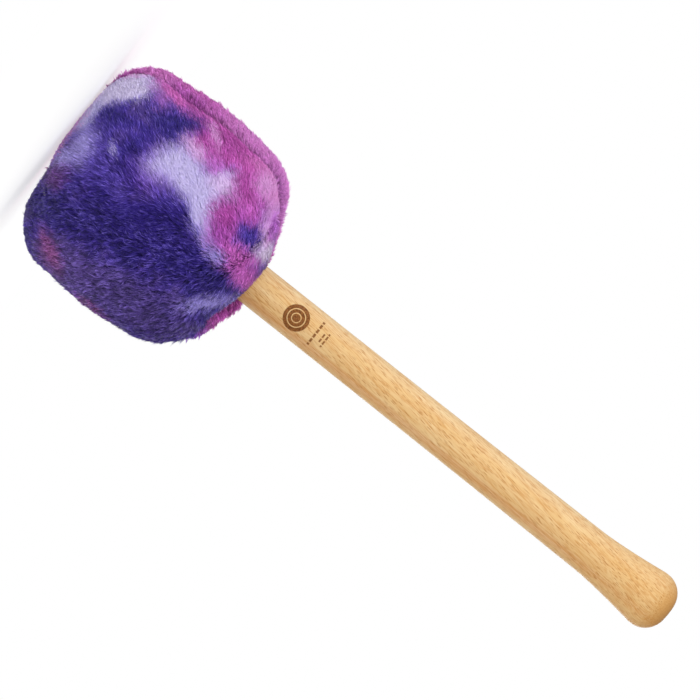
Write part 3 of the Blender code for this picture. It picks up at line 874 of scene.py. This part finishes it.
def makeHemCord():
    turn = np.linspace(0, 2 * math.pi, 361)
    tubes = []
    for ply in (0, 1):
        twist = turn * hemCord["turns"] + math.pi * ply
        radius = hemCord["radius"] + hemCord["twist"] * np.cos(twist)
        height = hemCord["height"] + hemCord["twist"] * np.sin(twist)
        path = np.stack([radius * np.cos(turn), radius * np.sin(turn), height], -1)
        tubes.append(tubeAlong(path, hemCord["strand"], 8))
    mesh = meshFromTubes("hem_cord", tubes)
    linkPiece("hem_cord", mesh, makeThread("braidedCottonCord", hemCord["colours"]), "hem_drawcord")


makeStitches()
makeHemCord()
print("stitching and hem cord made")

# The turned handle, on the same outline as the CAD one
handle = {
    "top": 376.0, "knobRadius": 15.0, "domeHeight": 11.5, "knobFlat": 3.0, "knobLand": 2.0,
    "flareLength": 36.5, "gripRadius": 11.55, "headRadius": 10.8, "shoulder": 88.3,
    "tenonRadius": 8.0, "tenonEnd": 46.0, "tenonBevel": 1.2, "steps": 128,
}

# The plain decoration burned into it: a disc with thin rings left bare, and rows of dashes
burn = {
    "height": 143.8, "radius": 6.7,
    "bareRings": (4.55, 2.35),
    "rows": ((156.0, 6.8, 0.62), (159.7, 3.0, 0.45), (161.7, 3.9, 0.45)),   # height, half length, half width
    "dash": 1.35, "rowStrength": 0.92,
    "dark": "#5E330E", "light": "#935C28",
    "depth": 2.4,                   # how deep it is sunk, against the fibres' relief
}

# European beech, turned, sanded and oiled: pale warm tan with short dark ray flecks along the grain,
# faint growth lines that run out as long arches, and a satin surface
beech = {
    "litSideHighlight": "#D8C7A4", "pale": "#D9BC8B", "mid": "#CEA66C", "dark": "#B87C38", "rosyShade": "#C08C68",
    "fleck": "#A1682E", "endGrainAndShade": "#C78C44",
    "fleckWidth": 0.25, "fleckLength": 3.2,         # real flecks are 0.15 mm wide, drawn coarser to show
    "fibreWidth": 0.5, "fibreLength": 10.0,
    "lineWidth": 0.62, "lineLength": 90.0,
    "mottleWidth": 5.0, "mottleLength": 30.0,
    "ringSpacing": 2.6, "pith": (34, 22, 0),        # the tree's centre lies beside the blank
    "pithLeans": (0.035, -0.03, 0), # radians
    "twist": 0.013, "wander": 5,    # radians a millimetre, and how far the grain wanders
    "shadeBandAt": 7.6, "shadeBandEdge": (2.8, 0.4),          # the painted shade band, by how far across it lies
    "highlightEdge": (-4.0, -11.0),     # where the painted highlight on the -X side, towards the key lamp, starts and is palest
    "knobShadeEdge": (310.0, 350.0),     # how far up hands have darkened it
    "shadeBandShare": 0.4, "highlightShare": 0.6, "knobShadeShare": 0.6,          # how strongly each of these shows
    "streakShare": 0.6, "lineShare": 0.34, "ringShare": 0.12, "fleckShare": 0.85, "endGrainAndShadeShare": 0.75,
    "relief": 0.08,
}


def handleOutline():
    base = handle["top"] - handle["domeHeight"]
    wide, grip, neck = handle["knobRadius"], handle["gripRadius"], handle["headRadius"]
    outline = [(0.0, handle["top"])]
    for a in np.radians(np.linspace(90, 0, 28)):
        outline.append((handle["knobFlat"] + (wide - handle["knobFlat"]) * math.cos(a),
                        base + handle["domeHeight"] * math.sin(a)))
    flareTop = base - handle["knobLand"]
    for share in np.linspace(0, 1, 40):
        outline.append((grip + (wide - grip) * (1 - share) ** 1.5, flareTop - handle["flareLength"] * share))
    shaftTop = flareTop - handle["flareLength"]
    for rise in np.linspace(1, 0, 60)[1:]:
        height = head["length"] + (shaftTop - head["length"]) * rise
        outline.append((neck + (grip - neck) * rise ** 2, height))
    tenon, end, bevel = handle["tenonRadius"], handle["tenonEnd"], handle["tenonBevel"]
    outline += [(neck, handle["shoulder"]), (tenon, handle["shoulder"]), (tenon, end + bevel),
                (tenon - bevel, end), (0.0, end)]
    return outline


# Points and faces of an outline turned about the handle's axis, which it begins and ends on
def turnOutline(outline, steps):
    turn = np.arange(steps) * 2 * math.pi / steps
    points = [(0, 0, outline[0][1])]
    for radius, height in outline[1:-1]:
        points += [(radius * math.cos(a), radius * math.sin(a), height) for a in turn]
    points.append((0, 0, outline[-1][1]))
    rings = len(outline) - 2
    faces = [(0, 1 + j, 1 + (j + 1) % steps) for j in range(steps)]
    faces += [(a, d, c, b) for a, b, c, d in gridFaces(rings, steps, 1, closed=True)]
    last = 1 + (rings - 1) * steps
    faces += [(len(points) - 1, last + (j + 1) % steps, last + j) for j in range(steps)]
    return points, faces


# How far a value lies from the middle one, to either side
def addOffset(add, value, middle):
    off = add("Math", (value, middle), operation="SUBTRACT")
    return add("Math", (off,), operation="ABSOLUTE")


# Noise drawn out along the handle, by its width across and its length along the grain
def grainNoise(add, place, width, length, detail, roughness=0.5):
    scaled = add("VectorMath", (place, (1 / width, 1 / width, 1 / length)), operation="MULTIPLY")
    return add("TexNoise", {"Vector": scaled, "Scale": 1.0, "Detail": detail, "Roughness": roughness})


def makeBeech(name, marked):
    material, add, shader = startMaterial(name, {"Roughness": 0.5, "IOR": 1.5, "Specular IOR Level": 0.16})
    coordinates = add("TexCoord")
    place = add("VectorMath", {0: coordinates.outputs["Object"], "Scale": 1 / mm}, operation="SCALE")
    axes = add("SeparateXYZ", {"Vector": place}).outputs
    across, up = axes["X"], axes["Z"]
    # the grain winds slowly round the handle, as in a slightly twisted tree, and wanders
    twist = add("Math", (up, -beech["twist"]), operation="MULTIPLY")
    twisted = add("VectorRotate", {"Vector": place, "Angle": twist}, rotation_type="Z_AXIS")
    wander = add("TexNoise", {"Vector": place, "Scale": 1 / 40.0, "Detail": 1.0}).outputs["Color"]
    far = (beech["wander"], beech["wander"], 0)
    bent = add("VectorMath", (wander, far, twisted), operation="MULTIPLY_ADD")
    # growth rings
    pith = add("Mapping", {
        "Vector": bent, "Location": beech["pith"], "Rotation": beech["pithLeans"], "Scale": (1, 1, 1e4)},
        vector_type="TEXTURE")
    ring = add("VectorMath", (pith,), operation="LENGTH")
    ring = add("Math", (ring, 2 * math.pi / beech["ringSpacing"]), operation="MULTIPLY")
    ring = add("Math", (ring,), operation="SINE")
    ring = add("MapRange", (ring, -1.0, 1.0, 0.0, beech["ringShare"]))
    mottle = grainNoise(add, bent, beech["mottleWidth"], beech["mottleLength"], 2.0)
    uneven = add("MapRange", (mottle, 0.15, 0.85))
    # painted shade: a rosy band runs up the +X side, away from the key lamp, and a painted highlight makes
    # the -X side paler
    shadeBand = addOffset(add, across, beech["shadeBandAt"])
    shadeBand = add("MapRange", (shadeBand, *beech["shadeBandEdge"], 0.0, beech["shadeBandShare"]),
               interpolation_type="SMOOTHSTEP")
    litHighlight = add("MapRange", (across, *beech["highlightEdge"], 0.0, beech["highlightShare"]))
    # painted shade: the wood darkens towards the knob end
    knobShade = add("MapRange", (up, *beech["knobShadeEdge"], 0.0, beech["knobShadeShare"]))
    awayFromKnob = add("Math", (1.0, knobShade), operation="SUBTRACT")
    # the painted highlight is kept off the painted knob shade
    litHighlight = add("Math", (litHighlight, awayFromKnob), operation="MULTIPLY")
    fibre = grainNoise(add, bent, beech["fibreWidth"], beech["fibreLength"], 3.0, 0.62)
    streak = add("MapRange", (fibre, 0.48, 0.62, 0.0, beech["streakShare"]))
    grainy = add("MapRange", (mottle, 0.3, 0.6, 0.8, 1.0))
    streak = add("Math", (streak, grainy), operation="MULTIPLY")
    # early and late wood lie in long fine lines, strongest in the painted shade band
    line = grainNoise(add, place, beech["lineWidth"], beech["lineLength"], 1.5)
    line = add("MapRange", (line, 0.46, 0.62, 0.0, beech["lineShare"]))
    strong = add("Math", (shadeBand, 2.6, 0.5), operation="MULTIPLY_ADD")
    line = add("Math", (line, strong), operation="MULTIPLY")
    # ray flecks: stretched cells, only some of them filled
    width, length = 2.1 * beech["fleckWidth"], 1.5 * beech["fleckLength"]
    cell = add("VectorMath", (twisted, (1 / width, 1 / width, 1 / length)), operation="MULTIPLY")
    cell = add("TexVoronoi", {"Vector": cell, "Scale": 1.0, "Randomness": 1.0})
    fleck = add("MapRange", (cell, 0.42, 0.2), interpolation_type="SMOOTHSTEP")
    picked = add("SeparateColor", {"Color": cell.outputs["Color"]})
    picked = add("MapRange", (picked, 0.15, 0.85))
    fleck = add("Math", (fleck, picked), operation="MULTIPLY")
    filled = add("Math", (fleck, beech["fleckShare"]), operation="MULTIPLY")
    # the domed end shows end grain, which drinks more oil and turns darker, and the same mix paints shade on
    # the dome, which faces away from the lamps
    facing = add("SeparateXYZ", {"Vector": coordinates.outputs["Normal"]}).outputs["Z"]
    endGrainShade = add("MapRange", (facing, 0.15, 0.85, 0.0, beech["endGrainAndShadeShare"]))
    wood = hexColour(beech["pale"])
    for share, tone in ((uneven, "mid"), (shadeBand, "rosyShade"), (knobShade, "mid"), (litHighlight, "litSideHighlight"),
                        (streak, "dark"), (line, "dark"), (ring, "dark"), (filled, "fleck"),
                        (endGrainShade, "endGrainAndShade")):
        wood = add("Mix", {0: share, 6: wood, 7: hexColour(beech[tone])}, data_type="RGBA")
    height = add("Math", (fleck, -0.6, fibre), operation="MULTIPLY_ADD")
    if marked:
        wood, height = burnIn(add, place, wood, height)
    rough = add("MapRange", (fibre, 0.0, 1.0, 0.46, 0.6))
    bump = add("Bump", {"Height": height, "Distance": beech["relief"] * mm, "Strength": 0.7})
    setInputs(shader, {"Base Color": wood, "Roughness": rough, "Normal": bump})
    return material


# Burns the decoration into the front of the wood with a hot stamp
def burnIn(add, place, wood, height):
    across, depth, up = add("SeparateXYZ", {"Vector": place}).outputs
    above = add("Math", (up, burn["height"]), operation="SUBTRACT")
    flat = add("CombineXYZ", {"X": across, "Y": above})
    away = add("VectorMath", (flat,), operation="LENGTH")
    scorch = add("MapRange", (away, burn["radius"] + 0.15, burn["radius"] - 0.15))
    for ringRadius in burn["bareRings"]:
        burnt = add("MapRange", (addOffset(add, away, ringRadius), 0.16, 0.36))
        scorch = add("Math", (scorch, burnt), operation="MULTIPLY")
    # all rows share the dashes that run across the handle
    dash = add("Math", (across, burn["dash"]), operation="PINGPONG")
    dash = add("MapRange", (dash, 0.25, 0.42, 0.0, burn["rowStrength"]))
    aside = add("Math", (across,), operation="ABSOLUTE")
    for rowHeight, halfLength, halfWidth in burn["rows"]:
        row = add("MapRange", (addOffset(add, up, rowHeight), halfWidth + 0.12, halfWidth - 0.12))
        short = add("Math", (aside, halfLength), operation="LESS_THAN")
        row = add("Math", (row, short), operation="MULTIPLY")
        row = add("Math", (row, dash), operation="MULTIPLY")
        scorch = add("Math", (scorch, row), operation="MAXIMUM")
    inFront = add("Math", (depth, -2.0), operation="LESS_THAN")
    scorch = add("Math", (scorch, inFront), operation="MULTIPLY")
    char = add("TexNoise", {"Vector": place, "Scale": 1.4, "Detail": 3.0})
    char = add("MapRange", (char, 0.35, 0.7))
    char = add("Mix", {0: char, 6: hexColour(burn["dark"]), 7: hexColour(burn["light"])}, data_type="RGBA")
    marked = add("Mix", {0: scorch, 6: wood, 7: char}, data_type="RGBA")
    sunk = add("Math", (scorch, -burn["depth"], height), operation="MULTIPLY_ADD")
    return marked, sunk


def makeHandle():
    points, faces = turnOutline(handleOutline(), handle["steps"])
    mesh = meshFromPoints("turned_handle", points, faces)
    mesh.set_sharp_from_angle(angle=math.radians(40))
    linkPiece("turned_handle", mesh, makeBeech("oiledBeech", True), "handle")


makeHandle()
print("handle turned")


# Inside the head, the CAD's own solids keep their shape and get the materials of the real ones. Each has two
# tones in cloudy grain of a size in millimetres, with a small relief.
def cloudMaterial(name, finish, colours, grain, relief):
    material, add, shader = startMaterial(name, finish)
    place = add("TexCoord").outputs["Object"]
    noise = add("TexNoise", {"Vector": place, "Scale": 1 / (grain * mm), "Detail": 4.0, "Roughness": 0.6})
    shade = add("MapRange", (noise, 0.35, 0.65))
    mixed = add("Mix", {0: shade, 6: hexColour(colours[0]), 7: hexColour(colours[1])}, data_type="RGBA")
    bump = add("Bump", {"Height": noise, "Distance": relief * mm, "Strength": 0.7})
    setInputs(shader, {"Base Color": mixed, "Normal": bump})
    return material


inside = {
    "head_core": makeBeech("plainBeechCore", False),
    # zinc-plated mild steel: bright, slightly cloudy
    "core_screw": cloudMaterial("zincPlatedSteel", {"Metallic": 1.0, "Roughness": 0.32},
                                ("#B9BDC2", "#D2D5D8"), 1.2, 0.01),
    # dense wool felt: matt, fibrous, off-white
    "felt_wrap": cloudMaterial("woolFelt", {"Roughness": 0.95, "Sheen Weight": 0.4},
                               ("#D8D2C4", "#EEEADF"), 0.9, 0.12),
    # open-cell polyurethane foam: matt cream with fine pores
    "foam_sleeve": cloudMaterial("polyurethaneFoam", {"Roughness": 0.9}, ("#DCCFA6", "#F0E6C8"), 0.7, 0.2),
    # plain woven cotton: unbleached and soft
    "lining_bag": cloudMaterial("cottonLining", {"Roughness": 0.85, "Sheen Weight": 0.2},
                                ("#E6DFD0", "#F3EEE2"), 0.5, 0.08),
}
inside["core_washer"] = inside["core_screw"]
inside["foam_end_pad"] = inside["foam_neck_ring"] = inside["foam_sleeve"]
for name, material in inside.items():
    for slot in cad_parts[name].material_slots:
        slot.material = material
print("inner materials set on", len(inside), "nodes")
